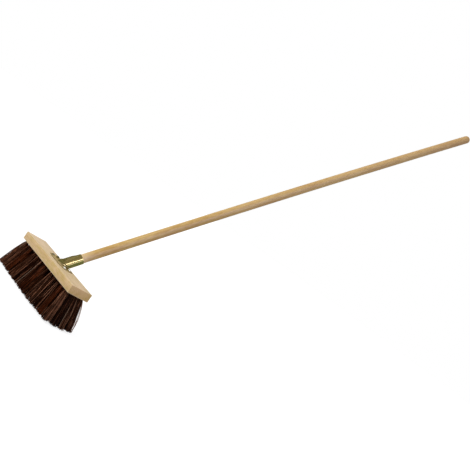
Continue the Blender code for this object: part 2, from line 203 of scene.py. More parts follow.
# Screws. The head's height is the solids' own, and its dome is as tall as the photo shows it
FLANGE_SCREWS = 4
HEAD_RADIUS = 0.0048
HEAD_HEIGHT = 0.0028
HEAD_DOME = 0.0042
HEAD_RIM = 0.0006
HEAD_EASING = 0.0002
HEAD_STEPS = 8
RECESS_DEPTH = 0.0018
RECESS_REACH = 0.0021
RECESS_HALF_WIDTH = 0.00055
RECESS_FLOOR_SHARES = (0.35, 0.6, 1.0)
SHANK_RADIUS = 0.0021
SCREW_LENGTH = 0.016
SHANK_HOLE_RADIUS = SHANK_RADIUS + SEAT_GAP
END_FLAT_RADIUS = 0.0003
POINT_LENGTH = 0.0045
SCREW_SIDES = 32
DRILL_SIDES = 24
SCREW_TURN = math.radians(37.0)
HANDLE_SCREW_STATION = 0.042

# The handle's axis
AXIS_FOOT = Vector((0.0, BLOCK_MIDDLE.y + TUBE_SETBACK, BLOCK_HIGH.z))
AXIS_TURN = Matrix.Rotation(HANDLE_TILT - math.pi / 2, 4, "X")
AXIS_DIRECTION = AXIS_TURN @ Vector((0.0, 0.0, 1.0))
TUBE_FRONT = AXIS_TURN @ Vector((0.0, -1.0, 0.0))

# The photograph's camera, fitted to the block's corners and the handle's edges
CAMERA_PLACE = Vector((2.1587, -1.2537, 0.5300))
CAMERA_FORWARD = Vector((-0.78034, 0.62521, -0.01359))
CAMERA_UP = Vector((-0.37381, -0.44893, 0.81162))
CAMERA_LENS = 63.87
SENSOR_WIDTH = 36.0

# Where each sun and each strip stands, then a sun's strength and spread, or a strip's size and power
KEY_SUN = ((-0.25, -0.80, 0.62), 1.44, math.radians(30.0))
FILL_SUN = ((0.95, -0.25, 0.20), 0.45, math.radians(60.0))
STREAK_STRIP = ((0.83, 0.02, 0.46), (0.20, 2.2), 50.0)
TAIL_STRIP = ((0.938, 0.33, 0.07), (0.36, 1.6), 12.0)
STRIP_DISTANCE = 2.2
STRIP_COLOUR = (0.90, 0.88, 1.45)
WORLD_LIGHT = 0.60
FLOOR_SIZE = 60.0
FLOOR_TONE = 0.30
FLOOR_GLOW = 0.80

# Colours of the woods, by the wood group's inputs
BLOCK_WOOD = {
    "Pale": (0.765, 0.545, 0.310, 1.0),
    "Tan": (0.620, 0.460, 0.170, 1.0),
    "Streak": (0.450, 0.262, 0.092, 1.0),
    "Ring Width": 0.0046,
    "Ring Strength": 0.38,
    "Streak Share": 0.42,
    "Fleck Strength": 0.34,
}
HANDLE_WOOD = {
    "Pale": (0.685, 0.475, 0.168, 1.0),
    "Tan": (0.525, 0.328, 0.074, 1.0),
    "Streak": (0.400, 0.180, 0.045, 1.0),
    "Ring Width": 0.0052,
    "Ring Strength": 0.42,
    "Streak Share": 0.45,
    "Fleck Strength": 0.15,
}
FLECK_BROWN = (0.20, 0.10, 0.045, 1.0)
# The top tone is painted sheen: faces looking up are mixed towards a paler, greyer tone
BLOCK_TOP_PAINTED_SHEEN = (0.685, 0.580, 0.465, 1.0)
BLOCK_END_TONE = (0.640, 0.385, 0.120, 1.0)
FRESH_CUT_TONE = (0.960, 0.820, 0.640, 1.0)
HANDLED_TONE = (0.380, 0.230, 0.160, 1.0)
CLEAN_HANDLE_TONE = (0.820, 0.620, 0.390, 1.0)

# Colours of the steel
# Brown and green are partly the passivation's tint and partly painted reflection bands round the tube
STEEL_BROWN = (0.165, 0.128, 0.040, 1.0)
STEEL_GREEN = (0.092, 0.104, 0.026, 1.0)
STEEL_KHAKI = (0.350, 0.270, 0.122, 1.0)
STEEL_DRAWN = (0.26, 0.17, 0.09, 1.0)
# Painted shade on the rib
STEEL_RIB_PAINTED_SHADE = (0.080, 0.070, 0.020, 1.0)
# Painted shade for the crease round the tube's foot and the sheet's edges
STEEL_PAINTED_SHADE = (0.050, 0.048, 0.014, 1.0)
# Screw colours are painted light: painted shade on the left wing, a painted glint on the right
SCREW_PAINTED_SHADE = ((0.120, 0.098, 0.040, 1.0), (0.065, 0.054, 0.022, 1.0))
SCREW_PAINTED_GLINT = ((0.560, 0.540, 0.420, 1.0), (0.340, 0.325, 0.230, 1.0))

# Colours of the bristles
FIBRE_DARK = (0.0045, 0.0003, 0.0001, 1.0)
FIBRE_BROWN = (0.056, 0.0140, 0.0038, 1.0)
FIBRE_LIGHT = (0.440, 0.200, 0.115, 1.0)
FIBRE_RUST = (0.190, 0.036, 0.008, 1.0)
FIBRE_PALE = (0.40, 0.27, 0.19, 1.0)

# Cutters run past what they cut by the overrun, and wide ones clear the whole holder
OVERRUN = 0.003
CLEAR_REACH = 0.1
WELD_REACH = 0.00001


# Helpers for modelling by hand


def only(obj):
    """Deselects everything else and makes the object active."""
    bpy.ops.object.select_all(action="DESELECT")
    obj.select_set(True)
    bpy.context.view_layer.objects.active = obj
    return obj


def new_piece(name):
    """Names what was just added."""
    obj = bpy.context.object
    obj.name = name
    obj.data.name = name
    return obj


def settle(obj):
    """Puts the object's place, turn and size into its mesh."""
    only(obj)
    bpy.ops.object.transform_apply(location=True, rotation=True, scale=True)
    return obj


def edit(obj, kind="VERT"):
    only(obj)
    bpy.ops.object.mode_set(mode="EDIT")
    bpy.ops.mesh.select_mode(type=kind)
    bpy.ops.mesh.select_all(action="DESELECT")


def done():
    bpy.ops.object.mode_set(mode="OBJECT")


def pick(obj, kind, test):
    """Selects the vertices, edges or faces that pass the test, in edit mode."""
    bm = bmesh.from_edit_mesh(obj.data)
    for item in getattr(bm, kind):
        item.select_set(bool(test(item)))
    bm.select_flush_mode()
    bmesh.update_edit_mesh(obj.data)


def middle(edge):
    return (edge.verts[0].co + edge.verts[1].co) / 2


def rise(edge):
    return abs(edge.verts[0].co.z - edge.verts[1].co.z)


def ease_edges(obj, width, test):
    """Rounds the edges that pass the test, in edit mode."""
    bpy.ops.mesh.select_all(action="DESELECT")
    pick(obj, "edges", test)
    bpy.ops.mesh.bevel(offset=width, segments=2, profile=0.5)


def apply_modifier(obj, kind, **settings):
    only(obj)
    modifier = obj.modifiers.new(kind.lower(), kind)
    for name, value in settings.items():
        setattr(modifier, name, value)
    bpy.ops.object.modifier_apply(modifier=modifier.name)
    return obj


def cut(obj, cutter):
    apply_modifier(obj, "BOOLEAN", operation="DIFFERENCE", object=cutter, solver="MANIFOLD")
    bpy.data.objects.remove(cutter, do_unlink=True)


def join(pieces):
    only(pieces[0])
    for piece in pieces:
        piece.select_set(True)
    bpy.ops.object.join()
    return bpy.context.object


def outward(obj):
    edit(obj, "FACE")
    bpy.ops.mesh.select_all(action="SELECT")
    bpy.ops.mesh.normals_make_consistent(inside=False)
    done()


def smooth(obj, angle=35.0):
    only(obj)
    bpy.ops.object.shade_smooth_by_angle(angle=math.radians(angle))


def finish_piece(obj, material, node):
    """Gives the piece its material and hides the frame's node that it stands for."""
    obj.data.materials.clear()
    obj.data.materials.append(material)
    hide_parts(node)
    return obj


def stack_rings(name, profile, sides):
    """A turned shape: a ring that is extruded up its axis and resized, step by step."""
    first_radius, first_height = profile[0]
    bpy.ops.mesh.primitive_circle_add(
        vertices=sides, radius=first_radius, fill_type="NGON", location=(0.0, 0.0, first_height)
    )
    obj = settle(new_piece(name))
    edit(obj, "FACE")
    bpy.ops.mesh.select_all(action="SELECT")
    radius, height = profile[0]
    for next_radius, next_height in profile[1:]:
        bpy.ops.mesh.extrude_region_move(
            TRANSFORM_OT_translate={"value": (0.0, 0.0, next_height - height)}
        )
        scale = next_radius / radius
        bpy.ops.transform.resize(value=(scale, scale, 1.0), center_override=(0.0, 0.0, next_height))
        radius, height = next_radius, next_height
    done()
    outward(obj)
    return obj


def cylinder(name, radius, low, high, sides, centre=(0.0, 0.0)):
    place = (centre[0], centre[1], (low + high) / 2)
    bpy.ops.mesh.primitive_cylinder_add(vertices=sides, radius=radius, depth=high - low, location=place)
    return settle(new_piece(name))


def box(name, low, high):
    low, high = Vector(low), Vector(high)
    bpy.ops.mesh.primitive_cube_add(size=1.0, location=(low + high) / 2, scale=high - low)
    return settle(new_piece(name))


def place_on(obj, matrix):
    obj.matrix_world = matrix
    return settle(obj)


def axis_matrix(station=0.0):
    return Matrix.Translation(AXIS_FOOT + AXIS_DIRECTION * station) @ AXIS_TURN


def curve_mesh(name, paths, radius, side_steps, radii=None, closed=False, flat=None):
    """Round bars along paths, or with flat a filled outline of that thickness, made a mesh."""
    curve = bpy.data.curves.new(name, "CURVE")
    curve.dimensions = "2D" if flat else "3D"
    curve.use_fill_caps = not flat
    for index, path in enumerate(paths):
        spline = curve.splines.new("POLY")
        spline.points.add(len(path) - 1)
        spline.use_cyclic_u = closed
        for step, place in enumerate(path):
            spline.points[step].co = (*place, 1.0)
            if radii is not None:
                spline.points[step].radius = radii[index][step]
    if flat:
        curve.fill_mode = "BOTH"
        curve.extrude = flat / 2
    else:
        curve.bevel_depth = radius
        curve.bevel_resolution = side_steps
    obj = bpy.data.objects.new(name, curve)
    bpy.context.scene.collection.objects.link(obj)
    only(obj)
    bpy.ops.object.convert(target="MESH")
    return bpy.context.object


def weld(obj):
    edit(obj)
    bpy.ops.mesh.select_all(action="SELECT")
    bpy.ops.mesh.remove_doubles(threshold=WELD_REACH)
    bpy.ops.mesh.normals_make_consistent(inside=False)
    done()
    return obj


def rounded_corners(corners, radii, closed=True):
    """The outline with each corner replaced by an arc of its own radius, where that isn't zero."""
    outline = []
    for index, corner in enumerate(corners):
        ends = not closed and index in (0, len(corners) - 1)
        if ends or radii[index] == 0:
            outline.append(corner.copy())
            continue
        to_last = (corners[index - 1] - corner).normalized()
        to_next = (corners[(index + 1) % len(corners)] - corner).normalized()
        half = to_last.angle(to_next) / 2
        start = corner + to_last * (radii[index] / math.tan(half))
        centre = corner + (to_last + to_next).normalized() * (radii[index] / math.sin(half))
        for step in range(CORNER_STEPS + 1):
            turn = (math.pi - 2 * half) * step / CORNER_STEPS
            out = (start - centre) * math.cos(turn)
            outline.append(centre + out - to_last * (radii[index] * math.sin(turn)))
    return outline


# Materials


def add_sockets(group, way, kind, names):
    for name in names:
        group.interface.new_socket(name, in_out=way, socket_type=f"NodeSocket{kind}")


class Board:
    """A short way to add and link shader nodes."""

    def __init__(self, tree):
        self.tree = tree

    def add(self, kind, **values):
        node = self.tree.nodes.new(kind)
        for name, value in values.items():
            setattr(node, name, value)
        return node

    def link(self, source, target):
        self.tree.links.new(source, target)

    def put(self, value, socket):
        if isinstance(value, bpy.types.NodeSocket):
            self.link(value, socket)
        else:
            socket.default_value = value

    def math(self, operation, first, second=None):
        node = self.add("ShaderNodeMath", operation=operation)
        self.put(first, node.inputs[0])
        if second is not None:
            self.put(second, node.inputs[1])
        return node.outputs[0]

    def times(self, first, second):
        return self.math("MULTIPLY", first, second)

    def noise(self, vector, scale, detail, roughness):
        node = self.add("ShaderNodeTexNoise")
        self.put(vector, node.inputs["Vector"])
        self.put(scale, node.inputs["Scale"])
        self.put(detail, node.inputs["Detail"])
        self.put(roughness, node.inputs["Roughness"])
        return node.outputs["Fac"]

    def ramp(self, factor, low, high, out_low=0.0, out_high=1.0):
        node = self.add("ShaderNodeMapRange", clamp=True)
        node.inputs["From Min"].default_value = low
        node.inputs["From Max"].default_value = high
        node.inputs["To Min"].default_value = out_low
        node.inputs["To Max"].default_value = out_high
        self.put(factor, node.inputs["Value"])
        return node.outputs["Result"]

    def mix(self, factor, first, second):
        node = self.add("ShaderNodeMix", data_type="RGBA")
        self.put(factor, node.inputs[0])
        self.put(first, node.inputs[6])
        self.put(second, node.inputs[7])
        return node.outputs[2]

    def combine(self, x, y, z):
        node = self.add("ShaderNodeCombineXYZ")
        for value, socket in zip((x, y, z), node.inputs):
            self.put(value, socket)
        return node.outputs[0]

    def separate(self, vector):
        node = self.add("ShaderNodeSeparateXYZ")
        self.put(vector, node.inputs[0])
        return node.outputs


def wood_group():
    """Year rings round a pith line, long fibres, short flecks and a slow change of tone."""
    group = bpy.data.node_groups.new("sawn_wood", "ShaderNodeTree")
    add_sockets(group, "INPUT", "Vector", ["Along"])
    add_sockets(group, "INPUT", "Color", ["Pale", "Tan", "Streak"])
    add_sockets(group, "INPUT", "Float", ["Ring Width", "Ring Strength", "Streak Share"])
    add_sockets(group, "INPUT", "Float", ["Fleck Strength", "End Grain"])
    add_sockets(group, "OUTPUT", "Color", ["Color"])
    add_sockets(group, "OUTPUT", "Float", ["Height", "Roughness"])
    board = Board(group)
    start = board.add("NodeGroupInput").outputs
    finish = board.add("NodeGroupOutput").inputs
    x, y, z = board.separate(start["Along"])

    def grain_noise(share, scale, detail, roughness=0.5):
        """Noise that is drawn out along the grain: share is how fast it changes that way."""
        return board.noise(board.combine(board.times(x, share), y, z), scale, detail, roughness)

    # A slow wander of the grain along the piece bends the rings
    wander = grain_noise(0.12, 18.0, 2.0, 0.55)
    wander = board.times(board.math("SUBTRACT", wander, 0.5), 0.018)
    square_y = board.math("POWER", board.math("ADD", y, wander), 2.0)
    square_z = board.math("POWER", board.math("ADD", z, wander), 2.0)
    radius = board.math("SQRT", board.math("ADD", square_y, square_z))
    ring = board.math("FRACT", board.math("DIVIDE", radius, start["Ring Width"]))
    late = board.times(board.math("POWER", ring, 3.0), start["Ring Strength"])
    # Long fibres, soft broad streaks and two sizes of clouds in the tone
    fibre = grain_noise(0.025, 900.0, 3.0, 0.6)
    broad = grain_noise(0.10, 60.0, 3.0)
    tone = grain_noise(0.35, 14.0, 2.0)
    mottle = grain_noise(0.28, 170.0, 2.0)
    tone = board.math("ADD", board.times(tone, 0.5), board.times(mottle, 0.5))
    # Short dark flecks lie along the grain
    fleck = board.ramp(grain_noise(0.14, 1500.0, 1.0, 0.4), 0.66, 0.74)
    # On an end face the pores show as dots
    pores = board.ramp(grain_noise(0.05, 2600.0, 2.0, 0.6), 0.52, 0.70)
    colour = board.mix(board.ramp(tone, 0.40, 0.60), start["Pale"], start["Tan"])
    streaks = board.times(board.ramp(broad, 0.50, 0.72), start["Streak Share"])
    colour = board.mix(streaks, colour, start["Streak"])
    colour = board.mix(late, colour, start["Streak"])
    fine = board.times(board.ramp(fibre, 0.35, 0.75), 0.16)
    colour = board.mix(fine, colour, start["Streak"])
    flecks = board.times(fleck, start["Fleck Strength"])
    flecks = board.times(flecks, board.math("SUBTRACT", 1.0, start["End Grain"]))
    colour = board.mix(flecks, colour, FLECK_BROWN)
    ended = board.math("ADD", board.times(pores, 0.3), 0.13)
    ended = board.times(start["End Grain"], ended)
    colour = board.mix(ended, colour, start["Streak"])
    height = board.math("SUBTRACT", board.times(fibre, 0.6), board.times(fleck, 0.5))
    height = board.math("SUBTRACT", height, board.times(late, 0.5))
    board.link(colour, finish["Color"])
    board.link(height, finish["Height"])
    board.link(board.ramp(fibre, 0.3, 0.7, 0.52, 0.68), finish["Roughness"])
    return group


def new_material(name):
    material = bpy.data.materials.new(name)
    material.use_nodes = True
    material.node_tree.nodes.clear()
    board = Board(material.node_tree)
    shader = board.add("ShaderNodeBsdfPrincipled")
    output = board.add("ShaderNodeOutputMaterial")
    board.link(shader.outputs[0], output.inputs["Surface"])
    return material, board, shader


def object_vector(board, location=(0.0, 0.0, 0.0), rotation=(0.0, 0.0, 0.0)):
    coordinates = board.add("ShaderNodeTexCoord").outputs["Object"]
    mapping = board.add("ShaderNodeMapping", vector_type="POINT")
    mapping.inputs["Location"].default_value = location
    mapping.inputs["Rotation"].default_value = rotation
    board.link(coordinates, mapping.inputs["Vector"])
    return mapping.outputs["Vector"]


def bump(board, height, strength, distance, shader):
    node = board.add("ShaderNodeBump")
    node.inputs["Strength"].default_value = strength
    node.inputs["Distance"].default_value = distance
    board.put(height, node.inputs["Height"])
    board.link(node.outputs["Normal"], shader.inputs["Normal"])


def place_wood(board, vector, values):
    """Puts the wood group in a material, with that piece's own colours and grain."""
    wood = board.add("ShaderNodeGroup")
    wood.node_tree = WOOD
    board.link(vector, wood.inputs["Along"])
    for name, value in values.items():
        wood.inputs[name].default_value = value
    return wood


def surface_normal(board):
    """X, Y and Z of the way that the surface faces."""
    return board.separate(board.add("ShaderNodeNewGeometry").outputs["True Normal"])


def block_wood():
    material, board, shader = new_material("planed_block_wood")
    wood = place_wood(board, object_vector(board, BLOCK_PITH), BLOCK_WOOD)
    normal = surface_normal(board)
    end = board.ramp(board.math("ABSOLUTE", normal[0]), 0.75, 0.95)
    board.link(end, wood.inputs["End Grain"])
    # The chamfered lower edges are freshly cut and paler, and the upper ones are rubbed a little
    slant = board.math("ABSOLUTE", normal[2])
    arris = board.times(board.ramp(slant, 0.30, 0.50), board.ramp(slant, 0.96, 0.80))
    arris = board.times(arris, board.ramp(normal[2], -0.2, 0.2, 0.95, 0.10))
    # Painted sheen: faces looking up are mixed a quarter of the way towards a paler, greyer tone
    top = board.times(board.ramp(normal[2], 0.90, 0.98), 0.26)
    colour = board.mix(top, wood.outputs["Color"], BLOCK_TOP_PAINTED_SHEEN)
    colour = board.mix(board.times(end, 0.38), colour, BLOCK_END_TONE)
    colour = board.mix(arris, colour, FRESH_CUT_TONE)
    board.link(colour, shader.inputs["Base Color"])
    board.link(wood.outputs["Roughness"], shader.inputs["Roughness"])
    shader.inputs["Specular IOR Level"].default_value = 0.25
    bump(board, wood.outputs["Height"], 0.25, 0.0003, shader)
    return material


def handle_wood():
    """Wood with its grain along the handle: clean beside the socket, darkened by hands further up."""
    material, board, shader = new_material("sanded_handle_wood")
    across, front, along = board.separate(axis_vector(board))
    sideways = board.math("ADD", across, HANDLE_PITH[0])
    forward = board.math("ADD", front, HANDLE_PITH[1])
    shifted = board.math("ADD", along, HANDLE_GRAIN_SHIFT)
    wood = place_wood(board, board.combine(shifted, sideways, forward), HANDLE_WOOD)
    handled = board.ramp(along, HANDLED_FROM, HANDLE_LENGTH, 0.0, 0.36)
    colour = board.mix(handled, wood.outputs["Color"], HANDLED_TONE)
    paler_tone = board.ramp(along, TUBE_LENGTH + HANDLE_CLEAN_REACH, TUBE_LENGTH, 0.0, 0.55)
    colour = board.mix(paler_tone, colour, CLEAN_HANDLE_TONE)
    board.link(colour, shader.inputs["Base Color"])
    board.link(wood.outputs["Roughness"], shader.inputs["Roughness"])
    shader.inputs["Specular IOR Level"].default_value = 0.40
    bump(board, wood.outputs["Height"], 0.2, 0.0002, shader)
    return material


def axis_vector(board):
    """Coordinates in the tube's own frame: X across, -Y its front, Z along it."""
    into_tube = axis_matrix().inverted()
    return object_vector(board, into_tube.to_translation(), into_tube.to_euler())


def passivated_steel():
    """Yellow passivated steel: brown up the tube's front and green round its side, partly its tint and
    partly painted reflection, khaki on the sheet, and painted shade on the rib, in the foot's crease and
    on the sheet's edges.
    """
    material, board, shader = new_material("yellow_passivated_steel")
    vector = object_vector(board)
    across, round_tube, along = board.separate(axis_vector(board))
    height = board.separate(vector)[2]
    cloud = board.noise(vector, 60.0, 3.0, 0.5)
    speck = board.noise(vector, 1400.0, 2.0, 0.6)
    drawn = board.combine(across, round_tube, board.times(along, 0.08))
    drawn = board.times(board.ramp(board.noise(drawn, 420.0, 3.0, 0.5), 0.45, 0.70), 0.35)
    # Brown up the front and green round the side: partly the passivation's tint, partly painted reflection
    # bands
    drift = board.times(board.math("SUBTRACT", cloud, 0.5), 0.006)
    drift = board.math("ADD", round_tube, drift)
    colour = board.mix(board.ramp(drift, -0.008, 0.003), STEEL_BROWN, STEEL_GREEN)
    colour = board.mix(drawn, colour, STEEL_DRAWN)
    # The rib stands proud of the tube's wall: it is rougher, and painted shade darkens its colour
    on_rib = board.ramp(round_tube, -0.0148, -0.0162)
    colour = board.mix(board.times(on_rib, 0.8), colour, STEEL_RIB_PAINTED_SHADE)
    # Painted shade darkens the crease round the tube's foot
    painted_crease_shade = board.ramp(height, FLANGE_BOTTOM + SHEET * 7.0, FLANGE_BOTTOM + SHEET * 3.0)
    colour = board.mix(board.times(painted_crease_shade, 0.6), colour, STEEL_PAINTED_SHADE)
    on_sheet = board.ramp(height, FLANGE_BOTTOM + SHEET * 3.5, FLANGE_BOTTOM + SHEET * 1.2)
    colour = board.mix(on_sheet, colour, STEEL_KHAKI)
    # Painted shade darkens the sheet's cut edge too, and the faces near the sheet that turn away from
    # straight up
    painted_edge_shade = board.times(on_sheet, board.ramp(surface_normal(board)[2], 0.8, 0.4, 0.0, 0.55))
    colour = board.mix(painted_edge_shade, colour, STEEL_PAINTED_SHADE)
    board.link(colour, shader.inputs["Base Color"])
    shader.inputs["Metallic"].default_value = 1.0
    shader.inputs["Specular Tint"].default_value = (0.78, 0.66, 0.42, 1.0)
    sheen = board.math("ADD", board.times(speck, 0.3), cloud)
    rough = board.ramp(sheen, 0.4, 0.9, 0.16, 0.21)
    rough = board.math("ADD", rough, board.times(on_sheet, 0.16))
    rough = board.math("ADD", rough, board.times(on_rib, 0.42))
    board.link(rough, shader.inputs["Roughness"])
    bump(board, speck, 0.02, 0.0001, shader)
    return material


def screw_steel():
    """Screw steel: painted shade darkens the screws on the left wing and a painted glint brightens those
    on the right one.
    """
    material, board, shader = new_material("screw_steel_painted_shade_and_glint")
    vector = object_vector(board)
    cloud = board.noise(vector, 400.0, 3.0, 0.5)
    darker_tone = board.mix(cloud, *SCREW_PAINTED_SHADE)
    paler_tone = board.mix(cloud, *SCREW_PAINTED_GLINT)
    # Painted light: painted shade on the left wing's screws, a painted glint on the right wing's
    right = board.ramp(board.separate(vector)[0], -0.005, 0.005)
    board.link(board.mix(right, darker_tone, paler_tone), shader.inputs["Base Color"])
    shader.inputs["Metallic"].default_value = 1.0
    board.link(board.ramp(cloud, 0.3, 0.7, 0.30, 0.44), shader.inputs["Roughness"])
    return material


def bristle_fibre():
    """Stiff brown fibre: its tone changes from strand to strand and from tuft to tuft."""
    material, board, shader = new_material("brown_bristle_fibre")
    vector = object_vector(board)
    tone = board.add("ShaderNodeAttribute", attribute_name="strand_tone").outputs["Fac"]
    red = board.add("ShaderNodeAttribute", attribute_name="tuft_red").outputs["Fac"]
    grain = board.noise(vector, 700.0, 2.0, 0.5)
    darker_tone = board.times(board.ramp(board.noise(vector, 45.0, 2.0, 0.5), 0.44, 0.64), 0.45)
    colour = board.mix(board.ramp(tone, 0.12, 0.48), FIBRE_DARK, FIBRE_BROWN)
    colour = board.mix(board.ramp(tone, 0.48, 0.88), colour, FIBRE_LIGHT)
    colour = board.mix(board.times(red, board.ramp(tone, 0.2, 0.9)), colour, FIBRE_RUST)
    colour = board.mix(darker_tone, colour, FIBRE_DARK)
    # Only the few pale strands have a tone above the limit
    colour = board.mix(board.ramp(tone, 0.985, 0.99), colour, FIBRE_PALE)
    colour = board.mix(board.times(board.ramp(grain, 0.4, 0.7), 0.35), colour, FIBRE_DARK)
    board.link(colour, shader.inputs["Base Color"])
    board.link(board.ramp(grain, 0.3, 0.7, 0.34, 0.50), shader.inputs["Roughness"])
    shader.inputs["Specular IOR Level"].default_value = 0.04
    shader.inputs["Specular Tint"].default_value = (1.0, 0.55, 0.30, 1.0)
    return material


WOOD = wood_group()


# Pieces


def tuft_frame(name):
    """Where a tuft's root meets the block, and where its strands' middle meets the floor."""
    vertices = [vert.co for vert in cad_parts[name].data.vertices]
    root = [co for co in vertices if co.z > BLOCK_LOW.z + OVERRUN]
    tips = [co for co in vertices if co.z < BLOCK_LOW.z * TIP_BAND_SHARE]
    root_x, root_y = [sum(co[axis] for co in root) / len(root) for axis in (0, 1)]
    spans = [(min(co[axis] for co in tips), max(co[axis] for co in tips)) for axis in (0, 1)]
    tip_x, tip_y = [(low + high) / 2 for low, high in spans]
    return Vector((root_x, root_y, BLOCK_LOW.z)), Vector((tip_x, tip_y, 0.0))


def tuft_names():
    """Every tuft of the frame, row by row from the front."""
    rows = range(1, TUFT_ROWS + 1)
    return [f"tuft_{row}_{number:02d}" for row in rows for number in range(1, TUFTS_IN_ROW + 1)]


def screw_places():
    """The flange screws' seats, from the frame."""
    places = []
    for number in range(1, FLANGE_SCREWS + 1):
        low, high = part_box(f"holder_screw_{number}")
        places.append(Vector(((low.x + high.x) / 2, (low.y + high.y) / 2, high.z - HEAD_HEIGHT)))
    return places


def build_block(material):
    """A planed board: eased edges, fifty-two blind holes for the tufts and four for screws."""
    block = box("planed_block", BLOCK_LOW, BLOCK_HIGH)
    edit(block, "EDGE")
    ease_edges(block, BLOCK_ARRIS, lambda edge: abs(middle(edge).z - BLOCK_LOW.z) < SEAT_GAP)
    ease_edges(block, BLOCK_EASING, lambda edge: abs(middle(edge).z - BLOCK_HIGH.z) < SEAT_GAP)
    ease_edges(block, BLOCK_EASING, lambda edge: rise(edge) > BLOCK_ARRIS * 2)
    done()
    cutters = []
    for name in tuft_names():
        root, _ = tuft_frame(name)
        profile = [
            (HOLE_RADIUS + HOLE_RIM + OVERRUN, BLOCK_LOW.z - OVERRUN),
            (HOLE_RADIUS, BLOCK_LOW.z + HOLE_RIM),
            (HOLE_RADIUS, BLOCK_LOW.z + HOLE_DEPTH),
        ]
        cutter = stack_rings("tuft_hole", profile, HOLE_SIDES)
        cutters.append(place_on(cutter, Matrix.Translation((root.x, root.y, 0.0))))
    cut(block, join(cutters))
    pilots = []
    for place in screw_places():
        low = place.z - SCREW_LENGTH - SEAT_GAP
        pilots.append(cylinder("pilot", SHANK_HOLE_RADIUS, low, place.z + OVERRUN, PILOT_SIDES, place))
    cut(block, join(pilots))
    smooth(block)
    return finish_piece(block, material, "block")


def handle_rings():
    """Radius and height of each ring of the handle, from its lower end to its domed tip."""
    straight = HANDLE_LENGTH - HANDLE_RADIUS
    rings = [(HANDLE_RADIUS - HANDLE_CHAMFER, 0.0), (HANDLE_RADIUS, HANDLE_CHAMFER)]
    for step in range(1, HANDLE_RINGS + 1):
        rings.append((HANDLE_RADIUS, HANDLE_CHAMFER + (straight - HANDLE_CHAMFER) * step / HANDLE_RINGS))
    for step in range(1, DOME_RINGS):
        turn = math.pi / 2 * step / DOME_RINGS
        rings.append((HANDLE_RADIUS * math.cos(turn), straight + HANDLE_RADIUS * math.sin(turn)))
    tip_turn = math.pi / 2 * (DOME_RINGS - DOME_TIP_SHARE) / DOME_RINGS
    rings.append((HANDLE_RADIUS * math.cos(tip_turn), HANDLE_LENGTH))
    return rings


def build_handle(material):
    """A turned stick that has dried with a slight bow."""
    handle = stack_rings("turned_handle", handle_rings(), HANDLE_SIDES)
    socket = TUBE_LENGTH - HANDLE_INSET
    for vert in handle.data.vertices:
        share = (vert.co.z - socket) / (HANDLE_LENGTH - socket)
        if share > 0:
            vert.co.y -= HANDLE_BOW * 4 * share * (1 - share)
    smooth(handle)
    place_on(handle, axis_matrix(HANDLE_INSET))
    return finish_piece(handle, material, "handle")


def flange_outline():
    """The flange seen from above, from the frame's own box: a straight front and back, swept tips."""
    front, back = HOLDER_LOW.y, BLOCK_MIDDLE.y + FLANGE_BACK_REACH
    # Rounding draws the tips in, so their corners stand further out than the frame's box
    half = HOLDER_HIGH.x + FLANGE_TIP_RETURN * FLANGE_TIP_ROUNDED_SHARE
    right = [
        Vector((FLANGE_SHOULDER, front, 0.0)),
        Vector((half, front + FLANGE_SWEEP, 0.0)),
        Vector((half - FLANGE_TIP_RETURN, back, 0.0)),
    ]
    radii = [FLANGE_SHOULDER_RADIUS, FLANGE_CORNER_RADIUS, FLANGE_CORNER_RADIUS]
    left = [Vector((-corner.x, corner.y, 0.0)) for corner in reversed(right)]
    return rounded_corners(right + left, radii + radii[::-1])


def taper_at(station):
    """How much wider than its mouth the tube is at a station above the flare."""
    return TUBE_TAPER * (TUBE_LENGTH - station) / (TUBE_LENGTH - FLARE_LENGTH)


def tube_profile(mouth_radius, overrun=0.0):
    """Radius and height of each ring of the tube or its bore, from inside the block to the mouth."""
    radius = mouth_radius + TUBE_TAPER
    foot = radius + FLARE_SPREAD
    profile = [(foot, -foot - OVERRUN)]
    for step in range(FLARE_STEPS + 1):
        share = 1 - step / FLARE_STEPS
        profile.append((radius + FLARE_SPREAD * share**2, FLARE_LENGTH * (1 - share)))
    profile.append((mouth_radius, TUBE_LENGTH))
    if overrun:
        profile.append((mouth_radius, TUBE_LENGTH + overrun))
    return profile


def rib_path(drawn_in):
    """The rib's middle line: along the sheet, round a bend and up the tube's front."""
    flange_height = FLANGE_BOTTOM + SHEET + RIB_FLANGE_HEIGHT - RIB_RADIUS
    on_tube = AXIS_FOOT + TUBE_FRONT * (TUBE_RADIUS + RIB_TUBE_HEIGHT - RIB_RADIUS)
    corner = on_tube + AXIS_DIRECTION * ((flange_height - on_tube.z) / AXIS_DIRECTION.z)
    start = Vector((0.0, HOLDER_LOW.y + RIB_FRONT_MARGIN + drawn_in, flange_height))
    end = on_tube + AXIS_DIRECTION * (TUBE_LENGTH - RIB_END_TO_MOUTH - drawn_in)
    taper = end - AXIS_DIRECTION * RIB_END_TAPER
    return rounded_corners([start, corner, taper, end], [0, RIB_BEND, 0, 0], closed=False)


def rib(name, radius, drawn_in=0.0):
    path = rib_path(drawn_in)
    radii = [RIB_START_SHARE] + [1.0] * (len(path) - 2) + [RIB_END_SHARE]
    return weld(curve_mesh(name, [path], radius, RIB_SIDE_STEPS, [radii]))


